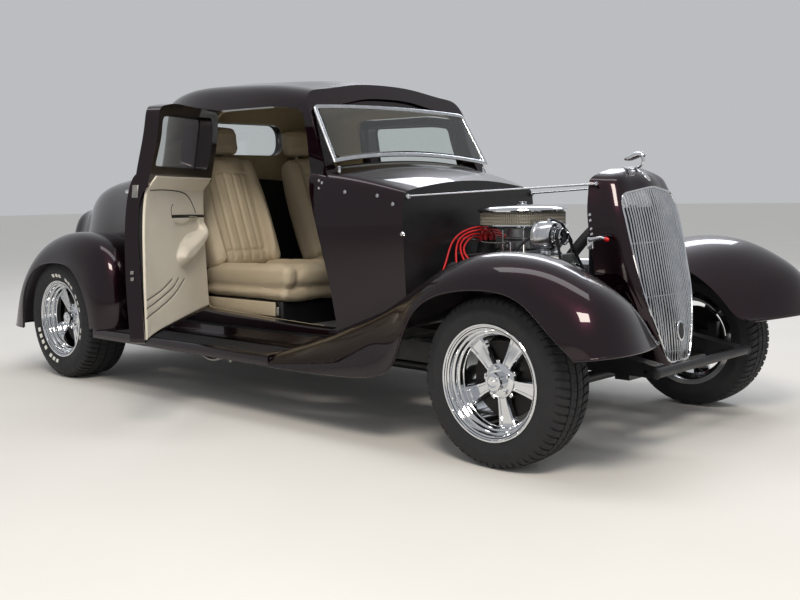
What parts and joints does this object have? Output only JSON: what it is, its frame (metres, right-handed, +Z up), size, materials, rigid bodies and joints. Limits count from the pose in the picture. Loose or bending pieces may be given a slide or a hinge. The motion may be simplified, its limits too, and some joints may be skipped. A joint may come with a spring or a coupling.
{
  "type": "hot rod coupe",
  "caption": "Fendered 1930s-style coupe rebuilt as a street hot rod, bonnet off, open engine, steering front wheels, rear-hinged doors, tilting windscreen and a lifting boot lid.",
  "frame": {"origin": "on the floor, under the middle of the wheelbase, on the centre plane", "axes": "+X forward, +Y to the car's left, +Z up"},
  "size_m": [4.2141, 2.2367, 1.5318],
  "materials": {
    "body paint": "gloss metallic",
    "black satin": "satin",
    "chrome": "polished",
    "polished aluminium": "polished",
    "cast iron": "painted",
    "clear glass": "clear",
    "tyre rubber": "matte",
    "tan leather": "grained",
    "ivory trim": "grained",
    "headliner cloth": "woven",
    "red lens": "clear red",
    "brake steel": "turned"
  },
  "bodies": {
    "car": {"cowl": "body paint", "cab": "body paint", "tail": "body paint", "cabin_lining": "headliner cloth", "bulkhead": "black satin", "floor_pan": "black satin", "dashboard": "tan leather", "rear_glass": "clear glass", "frame": "black satin", "fender_front_left": "body paint", "fender_front_right": "body paint", "fender_rear_left": "body paint", "fender_rear_right": "body paint", "running_board_left": "body paint", "running_board_right": "body paint", "radiator_shell": "body paint", "grille": "chrome", "radiator_core": "black satin", "ornament": "chrome", "stay_rods": "black satin", "engine_block": "cast iron", "cylinder_heads": "polished aluminium", "intake": "polished aluminium", "distributor": "black satin", "air_cleaner": "polished aluminium", "front_drive": "chrome", "exhaust": "black satin", "front_axle": "black satin", "rear_axle": "black satin", "fuel_tank": "black satin", "tail_lamps": "red lens", "seat_bases": "tan leather", "seat_cushions": "tan leather", "seat_backs": "tan leather", "steering_column": "black satin"},
    "door_left": {"door_left": "body paint", "door_trim_left": "ivory trim", "door_glass_left": "clear glass"},
    "door_right": {"door_right": "body paint", "door_trim_right": "ivory trim", "door_glass_right": "clear glass"},
    "windshield": {"windshield_frame": "chrome", "windshield_glass": "clear glass"},
    "deck_lid": {"deck_lid": "body paint"},
    "steering_wheel": {"steering_wheel": "black satin"},
    "knuckle_left": {"knuckle_left": "black satin"},
    "knuckle_right": {"knuckle_right": "black satin"},
    "tie_rod": {"tie_rod": "black satin"},
    "wheel_front_left": {"tyre_front_left": "tyre rubber", "rim_front_left": "chrome", "brake_front_left": "brake steel"},
    "wheel_front_right": {"tyre_front_right": "tyre rubber", "rim_front_right": "chrome", "brake_front_right": "brake steel"},
    "wheel_rear_left": {"tyre_rear_left": "tyre rubber", "rim_rear_left": "chrome", "brake_rear_left": "brake steel"},
    "wheel_rear_right": {"tyre_rear_right": "tyre rubber", "rim_rear_right": "chrome", "brake_rear_right": "brake steel"}
  },
  "joints": [
    {"name": "door_left_swing", "type": "hinge", "parent": "car", "child": "door_left", "pos_m": [-0.48, 0.664, 0.8], "axis": [0, 0, 1], "range_deg": [0, 76]},
    {"name": "door_right_swing", "type": "hinge", "parent": "car", "child": "door_right", "pos_m": [-0.48, -0.664, 0.8], "axis": [0, 0, -1], "range_deg": [-57, 19]},
    {"name": "windshield_tilt", "type": "hinge", "parent": "car", "child": "windshield", "pos_m": [0.254, 0, 1.356], "axis": [0, -1, 0], "range_deg": [-6.4, 22]},
    {"name": "deck_lid_lift", "type": "hinge", "parent": "car", "child": "deck_lid", "pos_m": [-1.007, 0, 1.131], "axis": [0, 1, 0], "range_deg": [0, 60]},
    {"name": "steer_right", "type": "hinge", "parent": "car", "child": "knuckle_right", "pos_m": [1.46, -0.64, 0.304], "axis": [0, 0, 1], "range_deg": [-28, 28]},
    {"name": "steer_left", "type": "hinge", "parent": "car", "child": "knuckle_left", "pos_m": [1.46, 0.64, 0.304], "axis": [0, 0, 1], "range_deg": [-28, 28]},
    {"name": "tie_rod_pivot", "type": "hinge", "parent": "knuckle_right", "child": "tie_rod", "pos_m": [1.335, -0.64, 0.2484], "axis": [0, 0, 1], "range_deg": [-28, 28]},
    {"name": "steering_wheel_turn", "type": "hinge", "parent": "car", "child": "steering_wheel", "pos_m": [0.07, 0.33, 0.925], "axis": [-0.8829, 0, 0.4695], "range_deg": [-448, 448]},
    {"name": "wheel_front_left_spin", "type": "hinge", "parent": "knuckle_left", "child": "wheel_front_left", "pos_m": [1.46, 0.698, 0.304], "axis": [0, 1, 0], "continuous": true},
    {"name": "wheel_front_right_spin", "type": "hinge", "parent": "knuckle_right", "child": "wheel_front_right", "pos_m": [1.46, -0.698, 0.304], "axis": [0, 1, 0], "continuous": true},
    {"name": "wheel_rear_left_spin", "type": "hinge", "parent": "car", "child": "wheel_rear_left", "pos_m": [-1.46, 0.717, 0.32], "axis": [0, 1, 0], "continuous": true},
    {"name": "wheel_rear_right_spin", "type": "hinge", "parent": "car", "child": "wheel_rear_right", "pos_m": [-1.46, -0.717, 0.32], "axis": [0, 1, 0], "continuous": true}
  ],
  "couplings": [
    {"joint": "steer_left", "follows": "steer_right", "ratio": 1},
    {"joint": "tie_rod_pivot", "follows": "steer_right", "ratio": -1},
    {"joint": "steering_wheel_turn", "follows": "steer_right", "ratio": 16}
  ]
}
